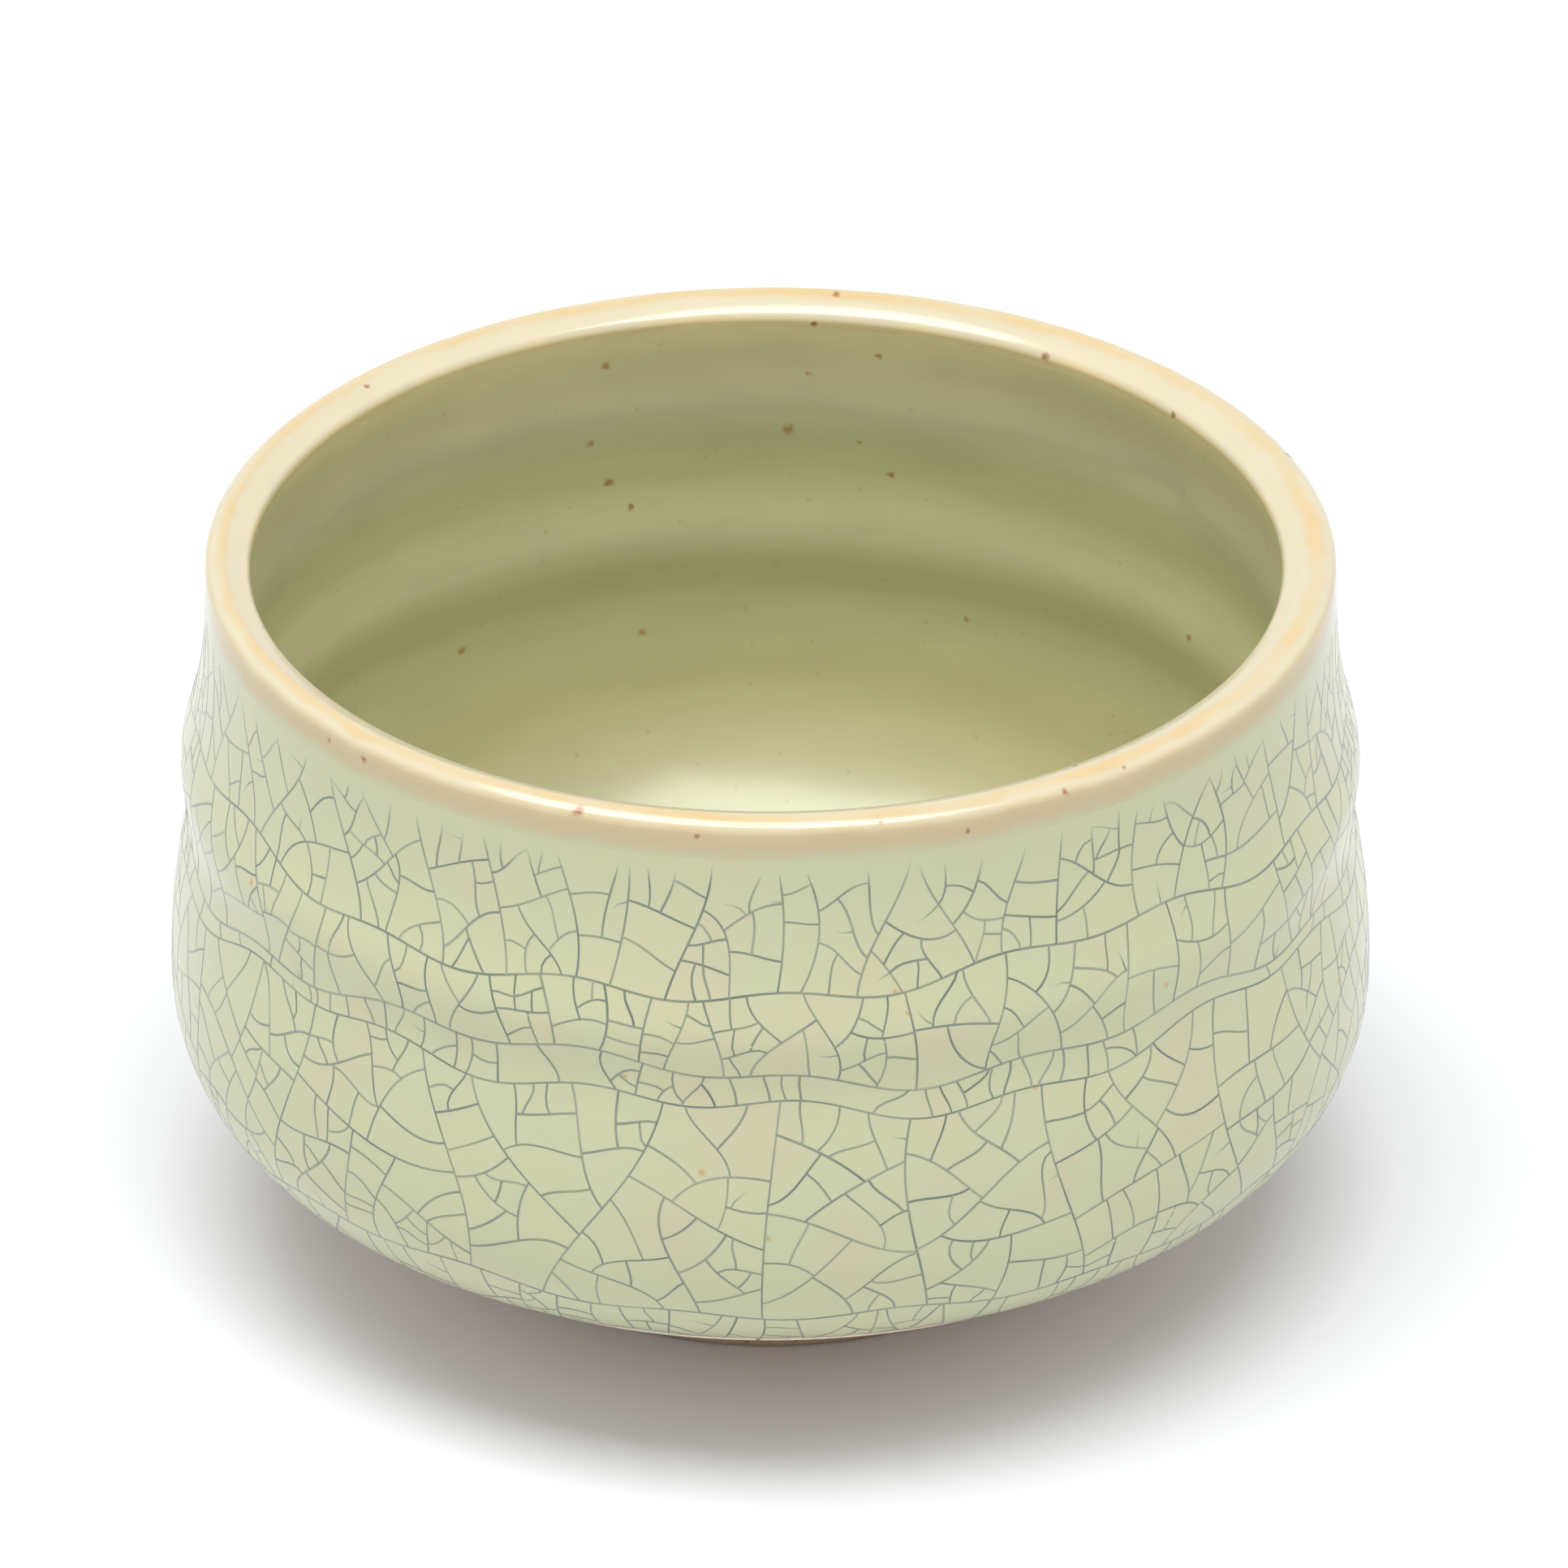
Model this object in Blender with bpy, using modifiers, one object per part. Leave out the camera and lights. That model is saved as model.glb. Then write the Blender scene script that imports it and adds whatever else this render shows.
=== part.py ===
"""A thrown stoneware tea bowl for whisked tea, built as its separate pieces.

A real bowl of this kind is a thrown clay wall, a foot ring, and three coats of glaze: a crackled
one outside, a plain celadon one inside, and the amber band where they meet over the lip.
Every piece is turned about the bowl's axis. The bowl's finished skin is one outline, and the glaze
coats and the clay under them are stretches of it at different depths.
Origin: centre of the circle that the foot stands on. +Z is up. Lengths here are in millimetres.
"""

import math

import bpy
import numpy as np

MM = 0.001
SEGMENTS = 60  # facets round the bowl

# Driving dimensions
BELLY_RADIUS = 60.0
BOWL_HEIGHT = 74.3
LIP_RADIUS = 55.8  # outside of the wall, just under the lip
LIP_WIDTH = 4.9
CREST_RADIUS = 54.1  # the lip's soft crest lies a little outside its middle
GLAZE_LINE_RADIUS = 50.8  # where the outside glaze stops above the foot
GLAZE_LINE_HEIGHT = 13.6
FLOOR_HEIGHT = 11.2  # finished floor inside the bowl
FOOT_RADIUS = 31.2
FOOT_HEIGHT = 5.9
FOOT_WIDTH = 5.4

# Glaze coats and the clay that they leave bare
GLAZE_THICKNESS = 0.8
JOINT_GAP = 0.3  # clear space between two pieces that touch
RIM_BAND_OUTSIDE = 5.0  # length of the amber band along the skin, from the top of the lip
RIM_BAND_INSIDE = 5.0
CLAY_STEP = 0.3  # bare clay lies this far under the glazed skin
CLAY_STRIP = 0.7  # upright strip of bare clay below the glaze line
UNDERSIDE_COVE = 1.0  # how far the trimmed underside clears the foot ring

# Lip: an inner and an outer shoulder, and a soft crest between two bevels
SHOULDER_ARC = 1.35
CREST_ARC = 1.5
BEVEL_ANGLE = math.radians(28)

# Outside of the bowl from the lip to the glaze line, as (radius, height)
OUTSIDE = (
    (56.3, 63.0),  # neck
    (57.2, 57.5),
    (58.6, 52.0),  # upper swelling
    (58.25, 45.5),  # groove
    (59.1, 40.0),
    (BELLY_RADIUS, 32.0),
    (59.45, 23.0),
    (56.45, 17.5),
    (GLAZE_LINE_RADIUS, GLAZE_LINE_HEIGHT),
)

# Inside of the bowl from the middle of the floor to the lip, with the throwing rings
INSIDE = (
    (0.0, FLOOR_HEIGHT),
    (15.0, FLOOR_HEIGHT + 0.3),
    (27.0, FLOOR_HEIGHT + 1.4),
    (37.0, 14.8),
    (44.6, 18.8),
    (49.0, 23.2),
    (51.9, 28.2),
    (53.2, 33.0),
    (54.0, 39.0),
    (53.0, 46.0),
    (53.4, 52.5),
    (51.9, 60.5),
    (52.3, 66.5),
)


def arc(centre, radius, start, end, steps):
    """Points of an arc about centre, with its angles measured from the outward radius."""
    return [
        (centre[0] + radius * math.cos(angle), centre[1] + radius * math.sin(angle))
        for angle in np.linspace(start, end, steps + 1)
    ]


def flowing_curve(stations, steps):
    """A smooth curve through the stations, with the same number of steps between each two."""
    points = np.array(stations)
    chord = np.concatenate([[0.0], np.cumsum(np.hypot(*np.diff(points, axis=0).T))])
    slopes = np.gradient(points, chord, axis=0)
    curve = [points[0]]
    for i, span in enumerate(np.diff(chord)):
        for t in np.arange(1, steps + 1) / steps:
            near = 2 * t**3 - 3 * t**2 + 1
            curve.append(
                near * points[i]
                + (1 - near) * points[i + 1]
                + (t**3 - 2 * t**2 + t) * span * slopes[i]
                + (t**3 - t**2) * span * slopes[i + 1]
            )
    return curve


def lip_outline():
    """The lip from its inner to its outer side: a shoulder, a bevel, the crest, and back down."""
    upright = math.pi / 2
    crest_fall = CREST_ARC * (1 - math.cos(BEVEL_ANGLE))
    shoulders = []
    for side, wall in ((-1, LIP_RADIUS - LIP_WIDTH), (1, LIP_RADIUS)):
        reach = abs(wall - CREST_RADIUS) - CREST_ARC * math.sin(BEVEL_ANGLE)
        bevel = reach - SHOULDER_ARC * (1 - math.sin(BEVEL_ANGLE))
        fall = crest_fall + bevel * math.tan(BEVEL_ANGLE)
        centre_height = BOWL_HEIGHT - fall - SHOULDER_ARC * math.cos(BEVEL_ANGLE)
        centre = (wall - side * SHOULDER_ARC, centre_height)
        level = upright - side * upright
        shoulders.append(arc(centre, SHOULDER_ARC, level, upright - side * BEVEL_ANGLE, 3))
    crest_centre = (CREST_RADIUS, BOWL_HEIGHT - CREST_ARC)
    crest = arc(crest_centre, CREST_ARC, upright + BEVEL_ANGLE, upright - BEVEL_ANGLE, 2)
    return shoulders[0] + crest + shoulders[1][::-1]


def outward_normals(curve):
    """Unit normals of a curve whose solid lies on its right-hand side."""
    along = np.gradient(curve, axis=0)
    normals = np.stack([-along[:, 1], along[:, 0]], axis=1)
    normals[0] = (0.0, 1.0)  # the skin is level where it crosses the axis
    return normals / np.linalg.norm(normals, axis=1, keepdims=True)


def stretch(start, end, depth=0.0):
    """The skin between two distances along it, sunk into the wall by depth."""
    between = DISTANCE[(DISTANCE > start) & (DISTANCE < end)]
    distances = np.concatenate([[start], between, [end]])
    curves = [
        [np.interp(distances, DISTANCE, column) for column in table.T] for table in (SKIN, NORMALS)
    ]
    return np.array(curves[0]).T - depth * np.array(curves[1]).T


def glaze_coat(start, end):
    """Section of a coat of glaze: its surface one way, and its clay side back."""
    surface = stretch(start, end)
    clay_side = stretch(start, end, GLAZE_THICKNESS)
    return [*surface, *clay_side[::-1]]


def clay_outline():
    """Section of the clay wall under the glaze, with the trimmed underside and the foot well."""
    under_glaze = stretch(0.0, DISTANCE[-1], GLAZE_THICKNESS + JOINT_GAP)
    along = SKIN[-1] - SKIN[-2]
    below_glaze = SKIN[-1] + JOINT_GAP * along / np.linalg.norm(along)
    shelf = [
        below_glaze - (GLAZE_THICKNESS + JOINT_GAP) * NORMALS[-1],
        below_glaze - CLAY_STEP * NORMALS[-1],
    ]
    corner = shelf[1] - (0.1, CLAY_STRIP)
    seat = FOOT_HEIGHT + JOINT_GAP
    well_radius = FOOT_RADIUS - FOOT_WIDTH - 1.6
    underside = [
        (FOOT_RADIUS + UNDERSIDE_COVE, seat),
        (well_radius, seat),
        (well_radius - 6.0, seat + 0.4),
        (5.0, seat + 0.3),
        (0.0, seat - 0.3),  # the small peak that trimming leaves in the middle
    ]
    return [*under_glaze, *shelf, corner, *underside]


def foot_outline():
    """Section of the foot ring: tapered sides and a flat face to stand on."""
    edge = 0.5
    top_inner = FOOT_RADIUS - FOOT_WIDTH - 0.9
    return [
        (top_inner, FOOT_HEIGHT),
        (FOOT_RADIUS + 0.7, FOOT_HEIGHT),
        (FOOT_RADIUS + 0.2, FOOT_HEIGHT / 2),
        (FOOT_RADIUS, edge),
        (FOOT_RADIUS - edge, 0.0),
        (FOOT_RADIUS - FOOT_WIDTH + edge, 0.0),
        (FOOT_RADIUS - FOOT_WIDTH, edge),
    ]


def make_material(name, colour, roughness):
    material = bpy.data.materials.new(name)
    material.use_nodes = True
    shader = material.node_tree.nodes["Principled BSDF"]
    shader.inputs["Base Color"].default_value = (*colour, 1.0)
    shader.inputs["Roughness"].default_value = roughness
    shader.inputs["Metallic"].default_value = 0.0
    return material


def turned_piece(name, outline, closed, material, collection):
    """A solid of revolution from a section that runs clockwise, seen with +X to the right."""
    mesh = bpy.data.meshes.new(name)
    count = len(outline)
    edges = [(i, i + 1) for i in range(count - 1)]
    if closed:
        edges.append((count - 1, 0))
    mesh.from_pydata([(r * MM, 0.0, z * MM) for r, z in outline], edges, [])
    mesh.materials.append(material)
    piece = bpy.data.objects.new(name, mesh)
    collection.objects.link(piece)
    screw = piece.modifiers.new("Turning", "SCREW")
    screw.steps = SEGMENTS
    screw.render_steps = SEGMENTS
    screw.use_merge_vertices = True
    screw.merge_threshold = 0.01 * MM
    screw.use_smooth_shade = True
    return piece


def meets_axis(outline):
    return abs(outline[0][0]) < 1e-6


for old in list(bpy.data.objects):
    bpy.data.objects.remove(old, do_unlink=True)

bowl = bpy.data.collections.new("tea_bowl")
bpy.context.scene.collection.children.link(bowl)

# The finished skin, from the middle of the floor over the lip and down to the glaze line
lip = lip_outline()
inside = flowing_curve([*INSIDE, lip[0]], 1)
outside = flowing_curve([lip[-1], *OUTSIDE], 2)
SKIN = np.array([*inside[:-1], *lip, *outside[1:]])
keep = np.concatenate([[True], np.hypot(*np.diff(SKIN, axis=0).T) > 0.05])
SKIN = SKIN[keep]
NORMALS = outward_normals(SKIN)
DISTANCE = np.concatenate([[0.0], np.cumsum(np.hypot(*np.diff(SKIN, axis=0).T))])

crest = DISTANCE[np.argmax(SKIN[:, 1])]
band_start = crest - RIM_BAND_INSIDE
band_end = crest + RIM_BAND_OUTSIDE
half_gap = JOINT_GAP / 2

stoneware = make_material("fired_stoneware", (0.50, 0.40, 0.29), 0.85)
foot_clay = make_material("foot_stoneware", (0.46, 0.37, 0.27), 0.88)
crackle_glaze = make_material("crackle_celadon_glaze", (0.56, 0.60, 0.42), 0.22)
plain_glaze = make_material("plain_celadon_glaze", (0.36, 0.37, 0.17), 0.30)
amber_glaze = make_material("amber_rim_glaze", (0.76, 0.63, 0.40), 0.20)

pieces = (
    ("clay_body", clay_outline(), stoneware),
    ("foot_ring", foot_outline(), foot_clay),
    ("inner_celadon_glaze", glaze_coat(0.0, band_start - half_gap), plain_glaze),
    ("rim_glaze_band", glaze_coat(band_start + half_gap, band_end - half_gap), amber_glaze),
    ("outer_crackle_glaze", glaze_coat(band_end + half_gap, DISTANCE[-1]), crackle_glaze),
)
for name, outline, material in pieces:
    turned_piece(name, outline, not meets_axis(outline), material, bowl)
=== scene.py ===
import math
import random

import bmesh
import bpy
import numpy as np
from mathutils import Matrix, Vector


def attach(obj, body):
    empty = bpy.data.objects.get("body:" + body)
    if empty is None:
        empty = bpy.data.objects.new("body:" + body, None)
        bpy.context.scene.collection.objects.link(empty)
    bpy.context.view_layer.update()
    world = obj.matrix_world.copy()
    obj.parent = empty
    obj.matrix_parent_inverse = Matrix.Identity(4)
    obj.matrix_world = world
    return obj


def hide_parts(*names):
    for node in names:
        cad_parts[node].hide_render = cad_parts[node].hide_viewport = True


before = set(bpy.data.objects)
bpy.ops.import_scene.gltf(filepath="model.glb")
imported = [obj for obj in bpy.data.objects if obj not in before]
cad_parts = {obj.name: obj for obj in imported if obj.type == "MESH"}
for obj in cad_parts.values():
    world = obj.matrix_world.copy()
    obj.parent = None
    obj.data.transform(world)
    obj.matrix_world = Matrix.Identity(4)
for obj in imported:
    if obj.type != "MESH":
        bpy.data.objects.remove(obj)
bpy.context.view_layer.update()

# ---------------------------------------------------------------------------
# Studio: a long lens about 30 degrees above the table, a pale table top, one large overhead
# softbox a little to the front and left, and white walls all round that fill the shadows.
# ---------------------------------------------------------------------------
MM = 0.001  # the bowl's sizes are in mm until they are multiplied by this
scene = bpy.context.scene
scene.view_settings.view_transform = "Standard"

SENSOR_WIDTH = 36  # of a full-frame camera
CAMERA_ELEVATION = math.radians(29.8)
CAMERA_DISTANCE = 1300 * MM
VIEW_WIDTH = 156.9456 * MM  # at the middle of the bowl
AIM_RIGHT = 1.35 * MM  # the bowl stands a little left of and below the middle of the view
AIM_UP = 5.97 * MM
BOWL_MIDDLE = Vector((0, 0, 40 * MM))

view_back = Vector((0, -math.cos(CAMERA_ELEVATION), math.sin(CAMERA_ELEVATION)))
view_up = Vector((0, math.sin(CAMERA_ELEVATION), math.cos(CAMERA_ELEVATION)))
camera = bpy.data.objects.new("camera", bpy.data.cameras.new("camera"))
scene.collection.objects.link(camera)
camera.data.sensor_width = SENSOR_WIDTH
camera.data.lens = SENSOR_WIDTH * CAMERA_DISTANCE / VIEW_WIDTH
camera.data.clip_start, camera.data.clip_end = 0.05, 20
camera.location = (
    BOWL_MIDDLE + view_back * CAMERA_DISTANCE + view_up * AIM_UP + Vector((AIM_RIGHT, 0, 0))
)
camera.rotation_euler = (math.pi / 2 - CAMERA_ELEVATION, 0, 0)
scene.camera = camera


def linear(code):
    """An sRGB hex colour as the linear numbers that a shader takes."""
    levels = [int(code[i : i + 2], 16) / 255 for i in (1, 3, 5)]
    return tuple(
        level / 12.92 if level <= 0.04045 else ((level + 0.055) / 1.055) ** 2.4
        for level in levels
    ) + (1.0,)


def add_node(material, kind, links=(), **settings):
    """One shader node. A capitalised setting is a socket by name, in_N is one by number, and the
    others are the node's own. Links are pairs of a socket and the output that feeds it."""
    made = material.node_tree.nodes.new("ShaderNode" + kind)
    for key, value in settings.items():
        if key.startswith("in_"):
            made.inputs[int(key[3:])].default_value = value
        elif key[0].isupper():
            made.inputs[key.replace("_", " ")].default_value = value
        else:
            setattr(made, key, value)
    for socket, source in links:
        material.node_tree.links.new(source, made.inputs[socket])
    return made


def new_material(name, **values):
    """A Principled material, with the values that are the same all over it."""
    material = bpy.data.materials.new(name)
    material.use_nodes = True
    shader = material.node_tree.nodes["Principled BSDF"]
    for socket, value in values.items():
        shader.inputs[socket.replace("_", " ")].default_value = value
    return material, shader


def softbox(name, azimuth, elevation, distance, width, height, brightness):
    """An area light that faces the bowl, with its sizes in metres. Azimuth 0 is the camera's side
    and a negative one lies to the left."""
    data = bpy.data.lights.new(name, "AREA")
    data.shape = "RECTANGLE"
    data.size, data.size_y = width, height
    data.energy = brightness * math.pi * width * height
    light = bpy.data.objects.new(name, data)
    scene.collection.objects.link(light)
    a, e = math.radians(azimuth), math.radians(elevation)
    towards = Vector((math.sin(a) * math.cos(e), -math.cos(a) * math.cos(e), math.sin(e)))
    light.location = BOWL_MIDDLE + towards * distance
    light.rotation_euler = towards.to_track_quat("Z", "Y").to_euler()


softbox("overhead_softbox", -20, 79, 3.0, 3.0, 1.5, 6.9)

world = bpy.data.worlds.new("white_room")
scene.world = world
world.use_nodes = True
walls = world.node_tree.nodes["Background"]
walls.inputs["Color"].default_value = (1, 1, 1, 1)
walls.inputs["Strength"].default_value = 0.82

# Matt paper: it scatters the light, so the bowl stands in a soft shadow and isn't mirrored
TABLE_SIZE = 6.0
bpy.ops.mesh.primitive_plane_add(size=TABLE_SIZE)
table = bpy.context.object
table.name = "table_top"
paper, _ = new_material("matt_white_paper", Base_Color=linear("#DCDEE1"), Roughness=0.6)
table.data.materials.append(paper)

# ---------------------------------------------------------------------------
# Clay body: a buff stoneware wall and floor, thrown on the wheel and trimmed underneath when
# leather-hard. Only the trimmed underside and a thin strip below the glaze line stay bare.
# ---------------------------------------------------------------------------
SEGMENTS = 360
BELLY_RADIUS = 60.0
LIP_RADIUS = 55.8
LIP_HEIGHT = 74.3
LIP_WIDTH = 4.9
CREST_RADIUS = 54.1
INNER_SHOULDER_ARC = 1.1
OUTER_SHOULDER_ARC = 1.0
CREST_ARC = 1.5
INNER_BEVEL = math.radians(25)
OUTER_BEVEL = math.radians(29)
BEVEL_CROWN = math.radians(9)  # how far a bevel turns each way from its middle
GLAZE_LINE = (50.8, 13.6)  # radius and height where the outside glaze stops
GLAZE_THICKNESS = 0.8
FIRED_GAP = 0.02  # the glaze is fused to the clay, and this only keeps the two faces apart
CLAY_STEP = 0.3  # bare clay lies this far under the glazed skin
CLAY_STRIP = 0.7  # upright strip of bare clay below the glaze line
FOOT_RADIUS = 31.2
FOOT_HEIGHT = 5.9
FOOT_WIDTH = 5.4

# The finished skin as (radius, height): down the outside, and up the inside with its rings
OUTSIDE = (
    (56.3, 63.0),
    (57.2, 57.5),
    (58.6, 52.0),
    (58.25, 45.5),
    (59.1, 40.0),
    (BELLY_RADIUS, 32.0),
    (59.45, 23.0),
    (56.45, 17.5),
    GLAZE_LINE,
)
INSIDE = (
    (0.0, 11.2),
    (15.0, 11.5),
    (27.0, 12.6),
    (37.0, 14.8),
    (44.6, 18.8),
    (49.0, 23.2),
    (51.9, 28.2),
    (53.2, 33.0),
    (54.0, 39.0),
    (53.0, 46.0),
    (53.4, 52.5),
    (51.9, 60.5),
    (52.3, 66.5),
)


def arc(centre, radius, start, end, steps):
    """Points of an arc about centre, with its angles measured from the outward radius."""
    return [
        (centre[0] + radius * math.cos(angle), centre[1] + radius * math.sin(angle))
        for angle in np.linspace(start, end, steps + 1)
    ]


def flowing_curve(stations, steps):
    """A smooth curve through the stations, with the same number of steps between each two."""
    points = np.array(stations)
    chord = np.concatenate([[0.0], np.cumsum(np.hypot(*np.diff(points, axis=0).T))])
    slopes = np.gradient(points, chord, axis=0)
    curve = [points[0]]
    for i, span in enumerate(np.diff(chord)):
        for t in np.arange(1, steps + 1) / steps:
            near = 2 * t**3 - 3 * t**2 + 1
            curve.append(
                near * points[i]
                + (1 - near) * points[i + 1]
                + (t**3 - 2 * t**2 + t) * span * slopes[i]
                + (t**3 - t**2) * span * slopes[i + 1]
            )
    return curve


def lip_outline():
    """The lip from its inner to its outer side: two shoulders, two bevels and a soft crest. Each
    bevel is a long arc, so that the lip rounds over without an edge."""
    upright = math.pi / 2
    sides = []
    for side, wall, radius, bevel_angle in (
        (-1, LIP_RADIUS - LIP_WIDTH, INNER_SHOULDER_ARC, INNER_BEVEL),
        (1, LIP_RADIUS, OUTER_SHOULDER_ARC, OUTER_BEVEL),
    ):
        low, high = bevel_angle - BEVEL_CROWN, bevel_angle + BEVEL_CROWN
        reach = abs(wall - CREST_RADIUS)
        reach -= CREST_ARC * math.sin(low) + radius * (1 - math.sin(high))
        bevel_arc = reach / (math.sin(high) - math.sin(low))
        fall = CREST_ARC + (bevel_arc - CREST_ARC) * math.cos(low)
        middle = (CREST_RADIUS - side * (bevel_arc - CREST_ARC) * math.sin(low), LIP_HEIGHT - fall)
        bevel = arc(middle, bevel_arc, upright - side * high, upright - side * low, 10)
        fall += (radius - bevel_arc) * math.cos(high)
        centre = (wall - side * radius, LIP_HEIGHT - fall)
        level = upright - side * upright
        sides.append(arc(centre, radius, level, upright - side * high, 10)[:-1] + bevel[:-1])
    crest_centre = (CREST_RADIUS, LIP_HEIGHT - CREST_ARC)
    crest_ends = (upright + INNER_BEVEL - BEVEL_CROWN, upright - OUTER_BEVEL + BEVEL_CROWN)
    crest = arc(crest_centre, CREST_ARC, *crest_ends, 10)
    return sides[0] + crest + sides[1][::-1]


def outward_normals(curve):
    """Unit normals of a curve whose solid lies on its right-hand side."""
    along = np.gradient(curve, axis=0)
    normals = np.stack([-along[:, 1], along[:, 0]], axis=1)
    normals[0] = (0.0, 1.0)  # the skin is level where it crosses the axis
    return normals / np.linalg.norm(normals, axis=1, keepdims=True)


def running_length(curve):
    return np.concatenate([[0.0], np.cumsum(np.hypot(*np.diff(curve, axis=0).T))])


lip = lip_outline()
inside = flowing_curve([*INSIDE, lip[0]], 8)
outside = flowing_curve([lip[-1], *OUTSIDE], 10)
SKIN = np.array([*inside[:-1], *lip, *outside[1:]])
SKIN = SKIN[np.concatenate([[True], np.hypot(*np.diff(SKIN, axis=0).T) > 0.01])]
NORMALS = outward_normals(SKIN)
DISTANCE = running_length(SKIN)
CREST = DISTANCE[np.argmax(SKIN[:, 1])]
SKIN_END = DISTANCE[-1]


def skin_at(distances, depth=0.0):
    """Points of the skin at distances along it, sunk into the wall by depth."""
    points, normals = (
        np.stack([np.interp(distances, DISTANCE, column) for column in table.T], axis=-1)
        for table in (SKIN, NORMALS)
    )
    return points - depth * normals


OPENING_SHIFT = 0.45  # the opening is off centre, so that the wall is thicker on the right
OVALNESS = 0.10
HAND_WAVE = 0.05  # sideways unevenness of the wall
LIP_WAVE = 0.10  # rise and fall of the lip


def thrown(section, inner, angle):
    """Where a turned point really lies, in metres: a thrown bowl is never quite round.
    Inner is 1 on the inside of the wall and 0 on its outside."""
    radius, height = section[..., 0], section[..., 1]
    rise = np.clip(height / LIP_HEIGHT, 0, 1)
    swing = OVALNESS * np.cos(2 * angle + 0.7) + HAND_WAVE * np.sin(3 * angle + 9 * rise)
    reach = radius + swing * rise * np.clip(radius / LIP_RADIUS, 0, 1)
    x = reach * np.cos(angle) - OPENING_SHIFT * inner
    y = reach * np.sin(angle)
    z = height + LIP_WAVE * np.sin(2 * angle - 0.4) * rise**4
    return np.stack([x, y, z], axis=-1) * MM


LIP_TURN = 2.6  # length of the skin, over the crest, where the inside becomes the outside
LIP_TURN_END = 1.0  # how far outside the crest that stretch ends


def inner_share(distances):
    """1 on the inside of the bowl, falling to 0 across the lip."""
    t = np.clip((CREST + LIP_TURN_END - np.asarray(distances)) / LIP_TURN, 0, 1)
    return t * t * (3 - 2 * t)


HIDDEN_SCALE = 0.1  # stretches that no one sees get this share of their length when painted
SHEET_MARGIN = 0.01  # share of the painted sheet left empty at each edge
SOFT_ANGLE = math.radians(35)  # edges that turn less than this are shaded smooth


def painted_length(section, hidden, closed):
    """How far along its painted sheet each point of a section lies."""
    loop = np.array([*section, section[0]]) if closed else np.array(section)
    steps = np.hypot(*np.diff(loop, axis=0).T)
    steps[hidden] *= HIDDEN_SCALE
    return np.concatenate([[0.0], np.cumsum(steps)])


def turned(name, section, distances, hidden, bands, meets_axis=False):
    """A closed solid turned from a section that runs clockwise, seen with +X to the right.
    Distances say where each point lies along the skin. The painted sheet is folded into bands
    to fill a square, and the hidden steps of the section get little of it."""
    section, distances = np.array(section), np.array(distances)
    rows, per_band, sheet_width = len(section), SEGMENTS // bands, 1 - 2 * SHEET_MARGIN
    angles = np.arange(SEGMENTS) * 2 * math.pi / SEGMENTS
    grid = thrown(section[:, None, :], inner_share(distances)[:, None], angles[None, :])
    sheet = painted_length(section, hidden, not meets_axis)
    sheet = SHEET_MARGIN + sheet_width * sheet / sheet[-1]
    faces, corners = [], []
    for row in range(len(sheet) - 1):
        above, below = row * SEGMENTS, (row + 1) % rows * SEGMENTS
        for column in range(SEGMENTS):
            following = (column + 1) % SEGMENTS
            faces.append((above + column, below + column, below + following, above + following))
            band, place = divmod(column, per_band)
            left = SHEET_MARGIN + sheet_width * place / per_band
            right = left + sheet_width / per_band
            top, bottom = (band + sheet[row]) / bands, (band + sheet[row + 1]) / bands
            corners += [left, top, left, bottom, right, bottom, right, top]
    mesh = bpy.data.meshes.new(name)
    mesh.from_pydata(grid.reshape(-1, 3), [], faces)
    mesh.uv_layers.new(name="OFBake").uv.foreach_set("vector", corners)
    from_crest = mesh.attributes.new("from_crest", "FLOAT", "POINT")
    from_crest.data.foreach_set("value", np.repeat(distances - CREST, SEGMENTS))
    if meets_axis:
        solid = bmesh.new()
        solid.from_mesh(mesh)
        solid.verts.ensure_lookup_table()
        poles = [*solid.verts[:SEGMENTS], *solid.verts[-SEGMENTS:]]
        bmesh.ops.remove_doubles(solid, verts=poles, dist=0.001 * MM)
        solid.to_mesh(mesh)
        solid.free()
    mesh.shade_smooth()
    mesh.set_sharp_from_angle(angle=SOFT_ANGLE)
    piece = bpy.data.objects.new(name, mesh)
    scene.collection.objects.link(piece)
    return piece


TRIM_PITCH = 1.7  # spacing of the trimming tool's rings on the underside
TRIM_DEPTH = 0.035
TRIM_STEP = 0.45  # spacing of the points that follow the ripple


def trimmed(start, end):
    """A straight cut of the trimming tool, with the faint ripple that it leaves."""
    steps = max(2, int(abs(end[0] - start[0]) / TRIM_STEP))
    cut = np.linspace(start, end, steps, endpoint=False)
    cut[1:, 1] += TRIM_DEPTH * np.sin(cut[1:, 0] * 2 * math.pi / TRIM_PITCH)
    return [*cut]


seat = FOOT_HEIGHT + FIRED_GAP
cove = FOOT_RADIUS + 1.0
well = FOOT_RADIUS - FOOT_WIDTH - 1.6
END_WAY = np.array((-0.83, -0.56))  # the way that the skin runs where the glaze stops
glaze_edge = skin_at(SKIN_END) + FIRED_GAP * END_WAY
shelf = glaze_edge - CLAY_STEP * NORMALS[-1]
corner = shelf - (0.1, CLAY_STRIP)
under_glaze = DISTANCE[::3]
covered = [
    *skin_at(under_glaze, GLAZE_THICKNESS + FIRED_GAP),
    glaze_edge - (GLAZE_THICKNESS + FIRED_GAP) * NORMALS[-1],
]
bare = [
    shelf,
    *trimmed(corner, (cove, seat)),
    (cove, seat),
    *trimmed((well, seat), (well - 6.0, seat + 0.4)),
    *trimmed((well - 6.0, seat + 0.4), (5.0, seat + 0.3)),
    *trimmed((5.0, seat + 0.3), (0.0, seat - 0.3)),
    (0.0, seat - 0.3),
]
clay_at = [*under_glaze, *[SKIN_END] * (1 + len(bare))]
clay_body = turned(
    "clay_wall_and_floor", covered + bare, clay_at, slice(0, len(covered)), 2, meets_axis=True
)


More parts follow.
